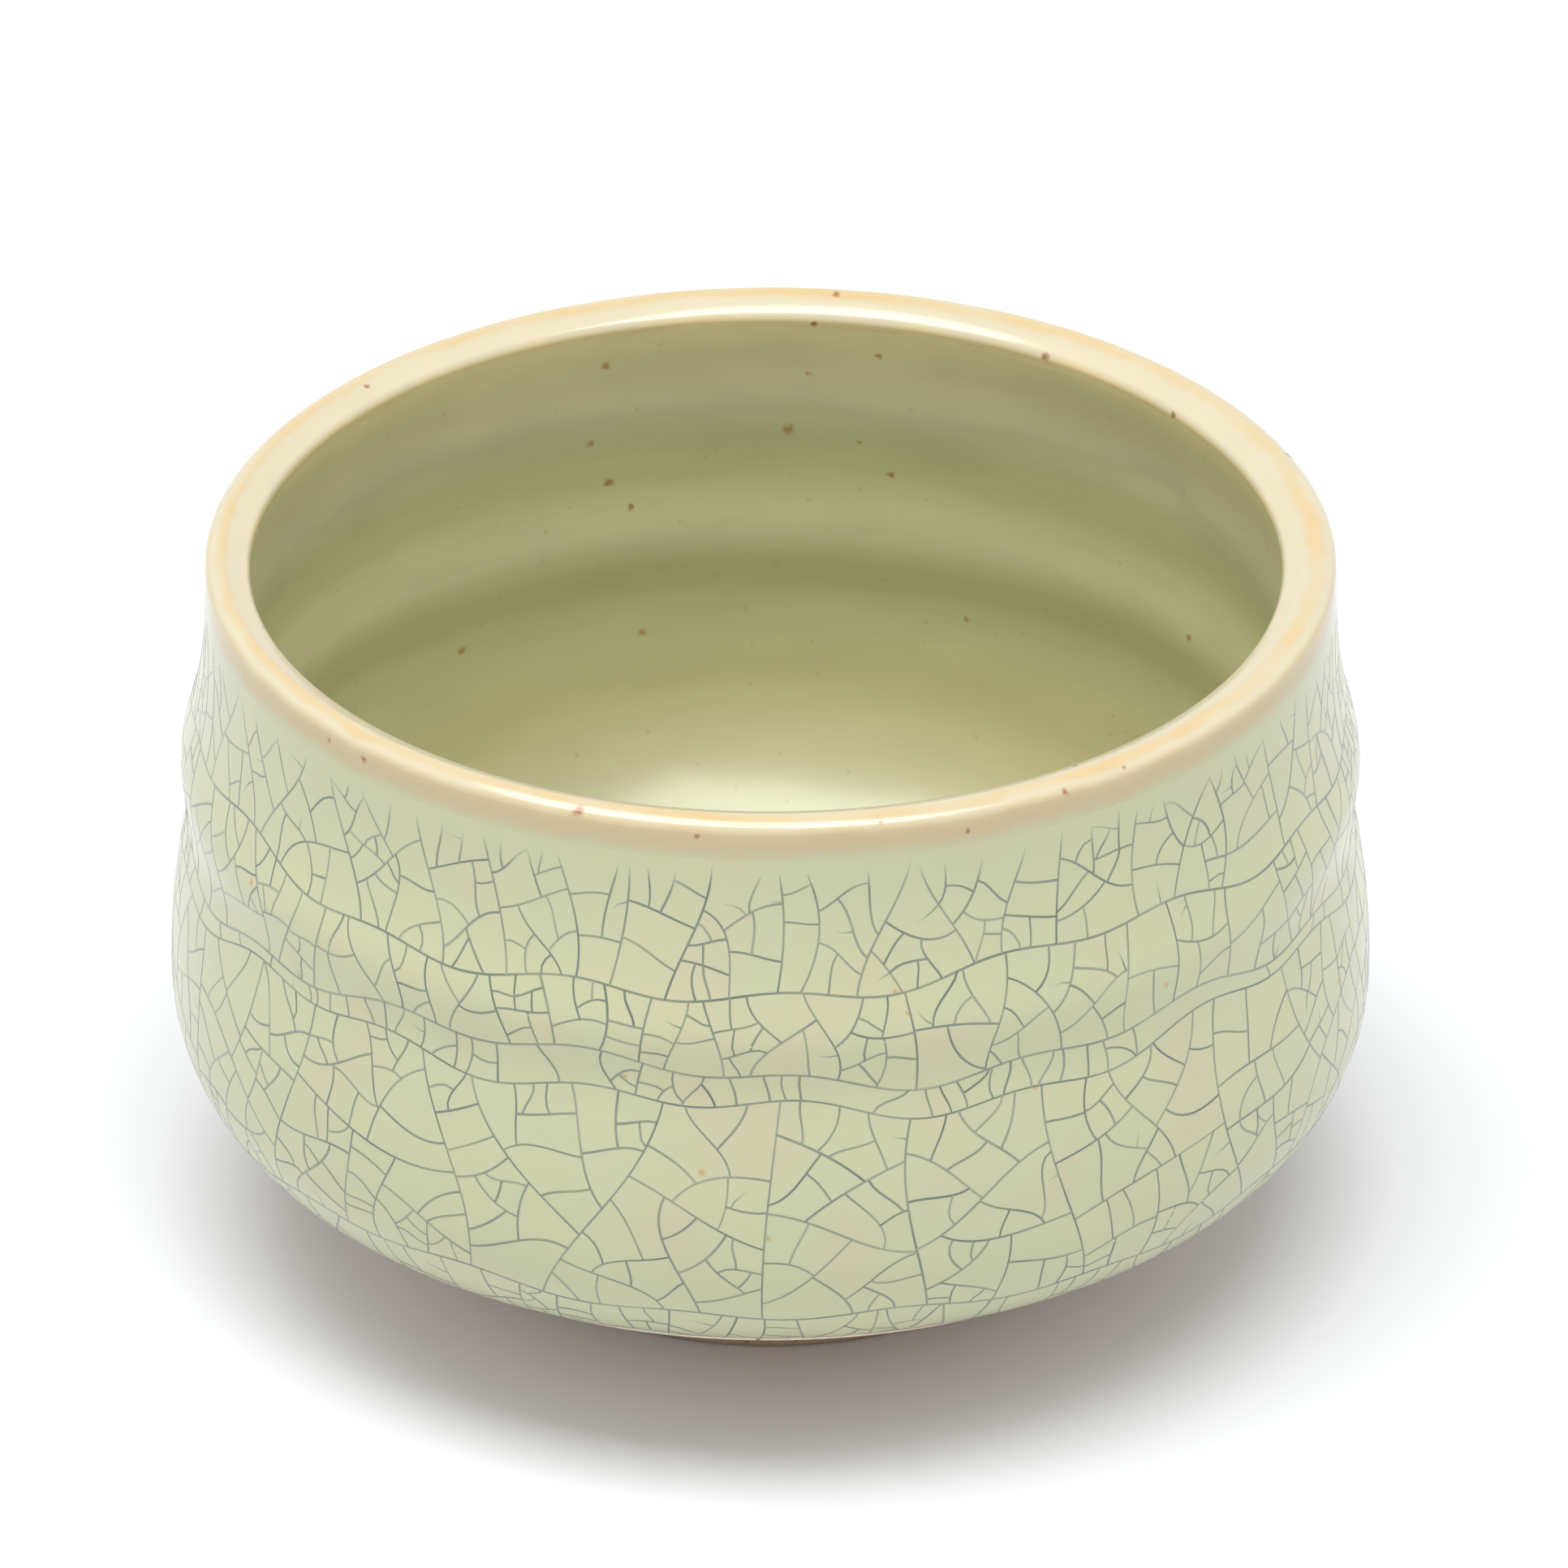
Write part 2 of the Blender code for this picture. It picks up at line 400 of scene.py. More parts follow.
def per_mm(size):
    """The scale that gives a pattern features of this size in mm."""
    return 1 / (size * MM)


def stoneware(name, pale, dark, speck):
    """Unglazed stoneware, bisque and glost fired: dry and matt, with a sandy grain, warmer and
    darker where the flame touched it, and small iron specks."""
    material, shader = new_material(name, IOR=1.5, Roughness=0.85)
    shader.inputs["Specular IOR Level"].default_value = 0.35
    place = add_node(material, "TexCoord").outputs["Object"]
    flame = add_node(material, "TexNoise", [("Vector", place)], Scale=per_mm(22), Detail=3)
    grain = add_node(material, "TexNoise", [("Vector", place)], Scale=per_mm(0.55), Detail=2)
    specks = add_node(material, "TexVoronoi", [("Vector", place)], Scale=per_mm(2.4))
    blend = add_node(
        material, "Mix", [("Factor", flame.outputs["Fac"])], data_type="RGBA",
        in_6=linear(pale), in_7=linear(dark),
    )
    sandy = add_node(
        material, "MapRange", [("Value", grain.outputs["Fac"])],
        From_Min=0.3, From_Max=0.7, To_Min=0.86, To_Max=1.08,
    )
    shade = add_node(
        material, "VectorMath", [(0, blend.outputs[2]), ("Scale", sandy.outputs[0])],
        operation="SCALE",
    )
    spot = add_node(
        material, "MapRange", [("Value", specks.outputs["Distance"])],
        From_Min=0.06, From_Max=0.12, To_Min=0.7, To_Max=0.0,
    )
    finish = add_node(
        material, "Mix", [("Factor", spot.outputs[0]), (6, shade.outputs[0])],
        data_type="RGBA", in_7=linear(speck),
    )
    bump = add_node(
        material, "Bump", [("Height", grain.outputs["Fac"])], Strength=0.5, Distance=0.06 * MM
    )
    material.node_tree.links.new(finish.outputs[2], shader.inputs["Base Color"])
    material.node_tree.links.new(bump.outputs[0], shader.inputs["Normal"])
    return material


clay_body.data.materials.append(
    stoneware("fired_buff_stoneware", "#EBDBCA", "#D9C3AD", "#5A4432")
)
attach(clay_body, "root")
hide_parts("clay_body")

# ---------------------------------------------------------------------------
# Foot ring: the same stoneware, luted on or turned out of the base and then trimmed, with a soft
# arris and a cove where it meets the underside. It stands bare, and its colour is darkened as
# painted shade, for the shadow that it stands in under the bowl.
# ---------------------------------------------------------------------------
FOOT_ARRIS = 0.7
COVE_RADIUS = 1.0

quarter = math.pi / 2
foot_inner = FOOT_RADIUS - FOOT_WIDTH
foot_section = [
    (foot_inner - 0.9, FOOT_HEIGHT),
    *arc(
        (FOOT_RADIUS + 0.15 + COVE_RADIUS, FOOT_HEIGHT - COVE_RADIUS), COVE_RADIUS,
        quarter, 2 * quarter, 8,
    ),
    (FOOT_RADIUS + 0.1, FOOT_HEIGHT / 2),
    *arc((FOOT_RADIUS - FOOT_ARRIS, FOOT_ARRIS), FOOT_ARRIS, 0, -quarter, 6),
    *arc((foot_inner + FOOT_ARRIS, FOOT_ARRIS), FOOT_ARRIS, -quarter, -2 * quarter, 6),
]
foot_ring = turned(
    "turned_foot_ring", foot_section, [SKIN_END] * len(foot_section), slice(0, 1), 3
)
# The foot's darker colours are painted shade for the shadow under the bowl, not wear
foot_ring.data.materials.append(
    stoneware("foot_stoneware_painted_shade", "#AC967E", "#927A60", "#3E2C1E")
)
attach(foot_ring, "root")
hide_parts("foot_ring")

# ---------------------------------------------------------------------------
# Inner celadon glaze: a plain iron-bearing celadon, poured in and fired in reduction to an olive
# green. It lies thin on the crests of the throwing rings and pools in the floor.
# ---------------------------------------------------------------------------
BAND_INSIDE = 5.0  # length of the rim band along the skin, from the crest inwards
BAND_OUTSIDE = 5.0
BAND_START, BAND_END = CREST - BAND_INSIDE, CREST + BAND_OUTSIDE


def glaze_coat(start, end):
    """Section of a coat of glaze from its surface round to its clay side, where each point
    lies along the skin, and which steps are hidden."""
    clear = 0.05
    front = DISTANCE[(DISTANCE > start + clear) & (DISTANCE < end - clear)]
    front = np.concatenate([[start], front, [end]])
    back = np.concatenate([front[:-1:4], [end]])[::-1]
    section = [*skin_at(front), *skin_at(back, GLAZE_THICKNESS)]
    return section, [*front, *back], slice(len(front) - 1, None)


def iron_specks(material, ground, specks, rust):
    """Iron grains that melted through the glaze, each at an angle round the bowl in degrees, a
    distance along the skin in mm and a radius in mm. Returns the speckled colour."""
    place = add_node(material, "TexCoord").outputs["Object"]
    ragged = add_node(material, "TexNoise", [("Vector", place)], Scale=per_mm(0.8), Detail=2)
    wander = add_node(
        material, "MapRange", [("Value", ragged.outputs["Fac"])],
        From_Min=0.3, From_Max=0.7, To_Min=-0.22 * MM, To_Max=0.22 * MM,
    )
    total = None
    for angle, along, radius in specks:
        spot = thrown(skin_at(np.array(along)), inner_share(along), math.radians(angle))
        away = add_node(
            material, "VectorMath", [(0, place)], operation="DISTANCE", in_1=tuple(spot)
        )
        edge = add_node(
            material, "Math", [(0, away.outputs["Value"]), (1, wander.outputs[0])],
            operation="ADD",
        )
        stain = add_node(
            material, "MapRange", [("Value", edge.outputs[0])], interpolation_type="SMOOTHSTEP",
            From_Min=0.0, From_Max=2.4 * radius * MM, To_Min=0.85, To_Max=0.0,
        )
        if total is None:
            total = stain.outputs[0]
        else:
            total = add_node(
                material, "Math", [(0, total), (1, stain.outputs[0])], operation="MAXIMUM"
            ).outputs[0]
    mixed = add_node(
        material, "Mix", [("Factor", total), (6, ground)], data_type="RGBA", in_7=linear(rust)
    )
    return mixed.outputs[2]


inner_section, inner_at, inner_hidden = glaze_coat(0.0, BAND_START)
inner_glaze = turned(
    "plain_celadon_lining", inner_section, inner_at, inner_hidden, 2, meets_axis=True
)

# Grains inside as (angle, height, radius)
INSIDE_GRAINS = (
    (108.3, 67.9, 0.30), (87.5, 59.2, 0.42), (110.3, 59.2, 0.26), (107.8, 53.6, 0.34),
    (105.3, 50.3, 0.22), (85.4, 65.5, 0.20), (77.2, 68.3, 0.20), (79.4, 57.9, 0.16),
    (76.0, 54.0, 0.22), (103.9, 35.2, 0.30), (125.6, 37.6, 0.30), (67.5, 38.1, 0.18),
    (35.7, 46.4, 0.24), (222.0, 41.0, 0.28), (251.0, 57.0, 0.24), (301.0, 48.0, 0.30),
    (338.0, 61.0, 0.22), (185.0, 52.0, 0.24),
)
wall_inside = (DISTANCE > 60) & (DISTANCE < CREST)


def along_inside(height):
    return float(np.interp(height, SKIN[wall_inside, 1], DISTANCE[wall_inside]))


def colour_ramp(material, source, stops):
    """The colours of the stops, given as (place from 0 to 1, colour), where source says."""
    made = add_node(material, "ValToRGB", [("Fac", source)])
    elements = made.color_ramp.elements
    for where, _ in stops[2:]:
        elements.new(where)
    for element, (where, colour) in zip(elements, stops):
        element.position, element.color = where, linear(colour)
    return made.outputs[0]


def finish_glaze(material, shader, colour, place, peel_size, peel_strength):
    """Gives a glaze its colour and the faint orange peel of a coat that melted and set."""
    peel = add_node(material, "TexNoise", [("Vector", place)], Scale=per_mm(peel_size), Detail=2)
    soft = add_node(
        material, "Bump", [("Height", peel.outputs["Fac"])], Strength=peel_strength,
        Distance=0.05 * MM,
    )
    material.node_tree.links.new(colour, shader.inputs["Base Color"])
    material.node_tree.links.new(soft.outputs[0], shader.inputs["Normal"])


# Satin celadon: it shines softly, so the softbox shows as a blurred glow low on the floor. Its
# green turns yellower on the rings' crests and greyer in the hollows between them, partly as the
# glaze's own colour and partly as painted light and shade of the rings
FLOOR_MIDDLE = -110.0  # about how far along the skin the floor's middle lies from the crest
RING_DRIFT = 4.5  # how far the rings' colours stray up and down the wall
lining, shader = new_material("satin_celadon_glaze", IOR=1.58, Roughness=0.27)
place = add_node(lining, "TexCoord").outputs["Object"]
depth = add_node(lining, "Attribute", attribute_name="from_crest").outputs["Fac"]
clouds = add_node(lining, "TexNoise", [("Vector", place)], Scale=per_mm(26), Detail=3)
drift = add_node(
    lining, "Math", [(0, clouds.outputs["Fac"])], operation="MULTIPLY_ADD",
    in_1=2 * RING_DRIFT, in_2=-RING_DRIFT,
)
level = add_node(lining, "Math", [(0, depth), (1, drift.outputs[0])], operation="ADD")
ring_place = add_node(
    lining, "MapRange", [("Value", level.outputs[0])], From_Min=FLOOR_MIDDLE, From_Max=-BAND_INSIDE
)
# Colours up the inside, from the middle of the floor at 0 to the rim band at 1: the glaze's own
# green, with painted light and shade of the throwing rings, and a painted lighter band at the top
# against the shade under the lip
RING_COLOURS_AND_PAINTED_SHADE = (
    (0.00, "#AAAB98"), (0.25, "#A8AD8A"), (0.43, "#AEB28D"), (0.50, "#B2B188"),
    (0.555, "#B6AD82"), (0.63, "#B4B386"), (0.70, "#B1B085"), (0.76, "#BEBC94"),
    (0.85, "#C0C093"), (0.905, "#A8A883"), (0.955, "#BDB791"), (0.985, "#D2C69D"),
    (1.00, "#DACEA4"),
)
ring_colour_and_painted_shade = colour_ramp(lining, ring_place.outputs[0], RING_COLOURS_AND_PAINTED_SHADE)
throwing_place = add_node(
    lining, "VectorMath", [(0, place)], operation="MULTIPLY", in_1=(0.25, 0.25, 1.0)
)
throwing_lines = add_node(
    lining, "TexNoise", [("Vector", throwing_place.outputs[0])], Scale=per_mm(3.4), Detail=3
)
line_shade = add_node(
    lining, "MapRange", [("Value", throwing_lines.outputs["Fac"])],
    From_Min=0.3, From_Max=0.7, To_Min=0.965, To_Max=1.035,
)
streaky = add_node(
    lining, "VectorMath", [(0, ring_colour_and_painted_shade), ("Scale", line_shade.outputs[0])],
    operation="SCALE",
)
grains = [(angle, along_inside(height), radius) for angle, height, radius in INSIDE_GRAINS]
speckled = iron_specks(lining, streaky.outputs[0], grains, "#9C6A2E")
fine = add_node(lining, "TexVoronoi", [("Vector", place)], Scale=per_mm(3.2))
fine_spot = add_node(
    lining, "MapRange", [("Value", fine.outputs["Distance"])],
    From_Min=0.05, From_Max=0.12, To_Min=0.16, To_Max=0.0,
)
lining_colour = add_node(
    lining, "Mix", [("Factor", fine_spot.outputs[0]), (6, speckled)], data_type="RGBA",
    in_7=linear("#7C6A3A"),
)
finish_glaze(lining, shader, lining_colour.outputs[2], place, peel_size=3.5, peel_strength=0.25)
inner_glaze.data.materials.append(lining)
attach(inner_glaze, "root")
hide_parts("inner_celadon_glaze")

# ---------------------------------------------------------------------------
# Outer celadon glaze: a thicker, paler celadon, dipped and fired glossy. It shrank more than the
# clay as it cooled, so it is crazed all over, and each island between cracks has its own tint.
# ---------------------------------------------------------------------------
ROLL_RADIUS = 58.0  # the wall is rolled out flat at this radius to draw the cracks
ROLL_WIDTH = 2 * math.pi * ROLL_RADIUS
ROLL_HEIGHT = SKIN_END - BAND_END
chance = random.Random(11)


def smooth_wave(span, swing, wavelengths):
    """A wandering offset that repeats over the span, as a function of the way along it."""
    waves = [
        (2 * math.pi * max(1, round(span / length)) / span, chance.uniform(0, 2 * math.pi))
        for length in wavelengths
    ]
    return lambda x: swing * sum(np.sin(k * x + p) for k, p in waves) / len(waves)


def cut_cell(cell, crack):
    """The two cells that a crack makes of one. Its ends lie on the cell's outline."""
    places = []
    ahead = np.roll(cell, -1, axis=0) - cell
    for end in (crack[0], crack[-1]):
        share = ((end - cell) * ahead).sum(1) / np.maximum((ahead**2).sum(1), 1e-12)
        share = np.clip(share, 0, 1)
        miss = np.hypot(*(cell + share[:, None] * ahead - end).T)
        nearest = int(miss.argmin())
        places.append(nearest + share[nearest])
    if places[0] > places[1]:
        places, crack = places[::-1], crack[::-1]
    first, last = int(places[0]), int(places[1])
    between = cell[first + 1 : last + 1]
    around = np.concatenate([cell[last + 1 :], cell[: first + 1]])
    return np.concatenate([crack[::-1], between]), np.concatenate([crack, around])


def area_of(cell):
    x, y = cell.T
    return 0.5 * abs(np.dot(x, np.roll(y, -1)) - np.dot(y, np.roll(x, -1)))


def is_inside(cell, points):
    """Whether each point lies inside the cell's outline."""
    x, y = points[:, 0, None], points[:, 1, None]
    x1, y1 = cell.T
    x2, y2 = np.roll(cell, -1, axis=0).T
    rise = np.where(y2 == y1, 1e-12, y2 - y1)
    crosses = ((y1 > y) != (y2 > y)) & (x < (x2 - x1) * (y - y1) / rise + x1)
    return crosses.sum(1) % 2 == 1


CRACK_STEP = 0.75
CRACK_LEAN = 0.42  # usual turn, in radians, away from the cell's shortest way across
CRACK_SWAY = 0.075  # usual sideways bow, as a share of the crack's length


def crack_across(cell, flatten):
    """A crack across the cell's short way. It leaves each side near square to it."""
    shape = np.array((1.0, flatten))
    middle = cell.mean(0)
    spread = (cell - middle) * shape
    turn = np.linalg.eigh(spread.T @ spread)[1][:, 1]
    long_way = turn / shape
    long_way /= np.linalg.norm(long_way)
    reach = (cell - middle) @ long_way
    start = middle + long_way * chance.uniform(-0.18, 0.18) * (reach.max() - reach.min())
    bend = chance.gauss(0, CRACK_LEAN)
    across = np.array((-long_way[1], long_way[0]))
    way = across * math.cos(bend) + long_way * math.sin(bend)
    ahead = np.roll(cell, -1, axis=0) - cell
    offset = cell - start
    base = way[0] * ahead[:, 1] - way[1] * ahead[:, 0]
    base = np.where(np.abs(base) < 1e-9, 1e-9, base)
    travel = (offset[:, 0] * ahead[:, 1] - offset[:, 1] * ahead[:, 0]) / base
    share = (offset[:, 0] * way[1] - offset[:, 1] * way[0]) / base
    hits = np.nonzero((share >= 0) & (share <= 1))[0]
    hits = hits[np.argsort(travel[hits])]
    if len(hits) < 2:
        return None
    spans = zip(hits[::2], hits[1::2])
    span = min(spans, key=lambda pair: abs(travel[pair[0]] + travel[pair[1]]))
    ends = []
    for edge, inward in zip(span, (way, -way)):
        square = np.array((-ahead[edge, 1], ahead[edge, 0]))
        square /= max(np.linalg.norm(square), 1e-9)
        square *= 1 if square @ inward > 0 else -1
        ends.append((start + travel[edge] * way, inward, square))
    (p0, in0, square0), (p3, in3, square3) = ends
    length = np.linalg.norm(p3 - p0)
    steps = max(3, int(length / CRACK_STEP))
    t = np.linspace(0, 1, steps + 1)[:, None]
    sway = chance.gauss(0, CRACK_SWAY) * length * np.array((-way[1], way[0]))
    for blend in (0.7, 0.35, 0.0):
        lead0 = (1 - blend) * in0 + blend * square0
        lead3 = (1 - blend) * in3 + blend * square3
        p1 = p0 + lead0 * length * 0.36 + sway * (blend > 0)
        p2 = p3 + lead3 * length * 0.36 + sway * (blend > 0)
        crack = (
            (1 - t) ** 3 * p0 + 3 * (1 - t) ** 2 * t * p1 + 3 * (1 - t) * t**2 * p2 + t**3 * p3
        )
        if is_inside(cell, crack[1:-1]).all():
            return crack
    return None


def slimness(cell):
    """Outline squared over area: about 13 for a round cell, and much more for a sliver."""
    outline = np.hypot(*(cell - np.roll(cell, 1, axis=0)).T).sum()
    return outline**2 / max(area_of(cell), 1e-6)


def best_crack(cell, flatten, tries):
    """The crack, of a few, that leaves the least slim pieces."""
    drawn = [crack_across(cell, flatten) for _ in range(tries)]
    found = [crack for crack in drawn if crack is not None]
    stretched = cell * (1.0, flatten)

    def slimmest(crack):
        return max(slimness(piece) for piece in cut_cell(stretched, crack * (1.0, flatten)))

    return min(found, key=slimmest) if found else None


# The first crack runs down the back, where the rolled-out wall joins up
down = np.linspace(0, ROLL_HEIGHT, 80)
seam_wave = smooth_wave(120.0, 2.2, (37.0, 19.0, 11.0))
seam = np.stack([seam_wave(down), down], axis=1)
other_side = seam + (ROLL_WIDTH, 0)
cells = [np.concatenate([seam, other_side[::-1]])]
cracks = [(seam, 0)]

# Long level cracks, which follow the groove and the swellings all the way round. Beside one of
# them runs a second one, and the strip between breaks into small islands.
for level, swing, beside in ((14.0, 2.6, 0.0), (27.0, 3.0, -3.0), (50.0, 2.0, 0.0)):
    wave = smooth_wave(ROLL_WIDTH, swing, (190.0, 97.0, 53.0, 21.0))
    gap_wave = smooth_wave(ROLL_WIDTH, 0.6, (120.0, 61.0))
    paths = [lambda x: level + wave(x)]
    if beside:
        paths.append(lambda x: level + wave(x) + beside * (1 + gap_wave(x)))
    for path in paths:
        left = level  # settles at the height where the crack meets the first one
        for _ in range(10):
            left = float(path(seam_wave(left)))
        run = np.linspace(seam_wave(left), seam_wave(left) + ROLL_WIDTH, 520)
        crack = np.stack([run, path(run)], axis=1)
        crack[0, 1] = crack[-1, 1] = left
        cracks.append((crack, 1))
        part = crack[200:201]  # any point of the crack tells which cell it cuts
        home = next(i for i, cell in enumerate(cells) if is_inside(cell, part)[0])
        cells += cut_cell(cells.pop(home), crack)

# Islands' usual area in square mm, and how far they are drawn out sideways, by distance below the
# rim band. Islands in a narrow strip are half the size.
USUAL_AREA = ((0, 8, 16, 34, 48, ROLL_HEIGHT), (22, 22, 20, 23, 24, 20))
FLATTEN = ((0, 10, 20, 45, ROLL_HEIGHT), (0.8, 0.85, 1.0, 1.0, 0.85))
AREA_SPREAD = 0.42
NARROW = 4.5  # mm

waiting = [(cell, 2) for cell in cells]
islands = []
while waiting:
    cell, rank = waiting.pop()
    height = cell[:, 1].mean()
    flatten = np.interp(height, *FLATTEN)
    narrow = np.ptp(cell[:, 1]) < NARROW
    usual = np.interp(height, *USUAL_AREA) * (0.5 if narrow else 1.0)
    limit = usual * math.exp(chance.gauss(0, AREA_SPREAD))
    crack = None if area_of(cell) < limit else best_crack(cell, flatten, 4)
    if crack is None:
        islands.append(cell)
        continue
    cracks.append((crack, rank))
    waiting += [(piece, rank + 1) for piece in cut_cell(cell, crack)]

# A few cracks stop short inside an island, and have a rank of their own
SPUR = -1
SPUR_CHANCE = 0.10
SMALLEST_WITH_SPUR = 10
for cell in islands:
    if chance.random() < SPUR_CHANCE and area_of(cell) > SMALLEST_WITH_SPUR:
        crack = crack_across(cell, 1.0)
        if crack is not None:
            cracks.append((crack[: max(3, len(crack) * 2 // 3)], SPUR))

outer_section, outer_at, outer_hidden = glaze_coat(BAND_END, SKIN_END)
outer_glaze = turned("crackle_celadon_coat", outer_section, outer_at, outer_hidden, 2)


def rolled_out(mesh):
    """Where each point of the coat lies on the rolled-out wall."""
    spots = np.empty(len(mesh.vertices) * 3)
    mesh.vertices.foreach_get("co", spots)
    along = np.empty(len(mesh.vertices))
    mesh.attributes["from_crest"].data.foreach_get("value", along)
    x, y, _ = spots.reshape(-1, 3).T
    angle = np.mod(np.arctan2(y, x) - math.pi / 2, 2 * math.pi)
    return np.stack([angle * ROLL_RADIUS, along - BAND_OUTSIDE], axis=1)


# Each island's tint: 0 is the bluest, 1 the yellowest
spots = rolled_out(outer_glaze.data)
tints = np.full(len(spots), 0.5)
for island in islands:
    tint = min(1.0, max(0.0, chance.gauss(0.5, 0.2)))
    for shift in (0.0, -ROLL_WIDTH):
        outline = island + (shift, 0)
        low, high = outline.min(0), outline.max(0)
        near = np.nonzero(((spots >= low) & (spots <= high)).all(1))[0]
        if len(near):
            tints[near[is_inside(outline, spots[near])]] = tint
tint_values = outer_glaze.data.attributes.new("island_tint", "FLOAT", "POINT")
tint_values.data.foreach_set("value", tints)

# Grains outside as (angle, height, radius)
OUTSIDE_GRAINS = (
    (-77.9, 56.2, 0.22), (-76.8, 54.0, 0.20), (-49.1, 49.9, 0.22), (-64.2, 43.3, 0.20),
    (-96.4, 37.7, 0.24), (-90.2, 30.7, 0.22), (-103.9, 46.8, 0.20), (-150.1, 52.5, 0.22),
    (-20.0, 36.0, 0.22), (14.0, 55.0, 0.24), (48.0, 40.0, 0.20), (83.0, 58.0, 0.22),
    (117.0, 33.0, 0.24), (152.0, 50.0, 0.22), (176.0, 28.0, 0.20),
)
wall_outside = DISTANCE > CREST


def along_outside(height):
    return float(np.interp(-height, -SKIN[wall_outside, 1], DISTANCE[wall_outside]))


def outer_celadon(material):
    """The colour of the outer glaze before its specks: a pale grey-green that turns bluer or
    yellower from island to island, and buff where it runs thin over a swelling."""
    place = add_node(material, "TexCoord").outputs["Object"]
    tint = add_node(material, "Attribute", attribute_name="island_tint").outputs["Fac"]
    clouds = add_node(material, "TexNoise", [("Vector", place)], Scale=per_mm(16), Detail=3)
    cloudy = add_node(
        material, "Math", [(0, tint), (1, clouds.outputs["Fac"])], operation="MULTIPLY"
    )
    tone = add_node(
        material, "MapRange", [("Value", cloudy.outputs[0])], From_Min=0.1, From_Max=0.45
    )
    celadon = add_node(
        material, "Mix", [("Factor", tone.outputs[0])], data_type="RGBA",
        in_6=linear("#B4B895"), in_7=linear("#B9B994"),
    )
    thin = add_node(material, "TexNoise", [("Vector", place)], Scale=per_mm(9), Detail=4)
    thin_share = add_node(
        material, "MapRange", [("Value", thin.outputs["Fac"])], interpolation_type="SMOOTHSTEP",
        From_Min=0.50, From_Max=0.72, To_Min=0.0, To_Max=0.5,
    )
    return add_node(
        material, "Mix", [("Factor", thin_share.outputs[0]), (6, celadon.outputs[2])],
        data_type="RGBA", in_7=linear("#BBB294"),
    ).outputs[2]


# Glossy celadon: it mirrors the white walls at its edges, which pales the bowl's two sides, and
# it blushes to buff where it runs thin under the rim band
crackle, shader = new_material("glossy_crackle_celadon", IOR=1.55, Roughness=0.2)
grains = [(angle, along_outside(height), radius) for angle, height, radius in OUTSIDE_GRAINS]
speckled = iron_specks(crackle, outer_celadon(crackle), grains, "#B98A4C")
place = add_node(crackle, "TexCoord").outputs["Object"]
depth = add_node(crackle, "Attribute", attribute_name="from_crest").outputs["Fac"]
near_lip = add_node(
    crackle, "MapRange", [("Value", depth)], interpolation_type="SMOOTHSTEP",
    From_Min=BAND_OUTSIDE - 2.0, From_Max=BAND_OUTSIDE + 1.2, To_Min=0.5, To_Max=0.0,
)
blushed = add_node(
    crackle, "Mix", [("Factor", near_lip.outputs[0]), (6, speckled)], data_type="RGBA",
    in_7=linear("#BCAF87"),
)
finish_glaze(crackle, shader, blushed.outputs[2], place, peel_size=4, peel_strength=0.25)
outer_glaze.data.materials.append(crackle)
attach(outer_glaze, "root")
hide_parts("outer_crackle_glaze")

# ---------------------------------------------------------------------------
# Crackle lines: the cracks of the outer glaze, rubbed with ink or tea so that they show. They
# fade out below the amber band, where the glaze didn't craze.
# ---------------------------------------------------------------------------
CRACK_WIDTH = 0.21
SPUR_WIDTH = 0.16
SHORTEST_CRACK = 0.6
CRACK_PROUD = 0.012  # just over the glaze, so that the line is seen whole
CRACK_DEPTH = 0.12
CRACK_SUNK = -0.1  # where a crack has faded out, it lies under the glaze
CRACK_FADE = 2.2  # length over which a crack fades out towards the rim band
SPUR_FADE = 1.5
ROW_LENGTH = 500.0  # the painted sheet holds the lines end to end in rows
ROW_FILL = 0.93  # how full a row gets at least


def on_wall(points, height):
    """Places on the wall for points of the rolled-out sheet, and the way out of the wall."""
    angle = points[:, 0] / ROLL_RADIUS + math.pi / 2
    along = BAND_END + np.clip(points[:, 1], 0, ROLL_HEIGHT)
    out = skin_at(along, -1.0) - skin_at(along)
    place = thrown(skin_at(along) + height[:, None] * out, inner_share(along), angle)
    out = np.stack([out[:, 0] * np.cos(angle), out[:, 0] * np.sin(angle), out[:, 1]], axis=1)
    return place, out


laid = []
for crack, rank in cracks:
    steps = np.hypot(*np.diff(crack, axis=0).T)
    crack = crack[np.concatenate([[True], steps > 0.02])]
    running = running_length(crack)
    length = running[-1]
    if length < SHORTEST_CRACK:
        continue
    width = (SPUR_WIDTH if rank == SPUR else CRACK_WIDTH) * chance.uniform(0.82, 1.15)
    darkness = chance.uniform(0.75, 1.0)
    pale_wave = smooth_wave(90.0, 0.22, (31.0, 13.0))
    fade_at = chance.uniform(0.6, 1.7)
    rim_share = np.clip((crack[:, 1] - fade_at) / CRACK_FADE, 0, 1)
    strength = rim_share**0.8 * (0.85 + pale_wave(running))
    half = 0.5 * width * (0.35 + 0.65 * rim_share)
    if rank == SPUR:
        tail = np.clip((length - running) / SPUR_FADE, 0, 1)
        half, strength = half * (0.3 + 0.7 * tail), strength * tail
    lift = np.where(rim_share > 0.02, CRACK_PROUD, CRACK_SUNK)
    line, out = on_wall(crack, lift)
    sideways = np.cross(out, np.gradient(line, axis=0))
    sideways /= np.linalg.norm(sideways, axis=1, keepdims=True)
    sideways *= half[:, None] * MM
    root = line - out * CRACK_DEPTH * MM
    wedges = np.stack([line - sideways, line + sideways, root], axis=1)
    laid.append((wedges, np.clip(strength * darkness, 0, 1), running))

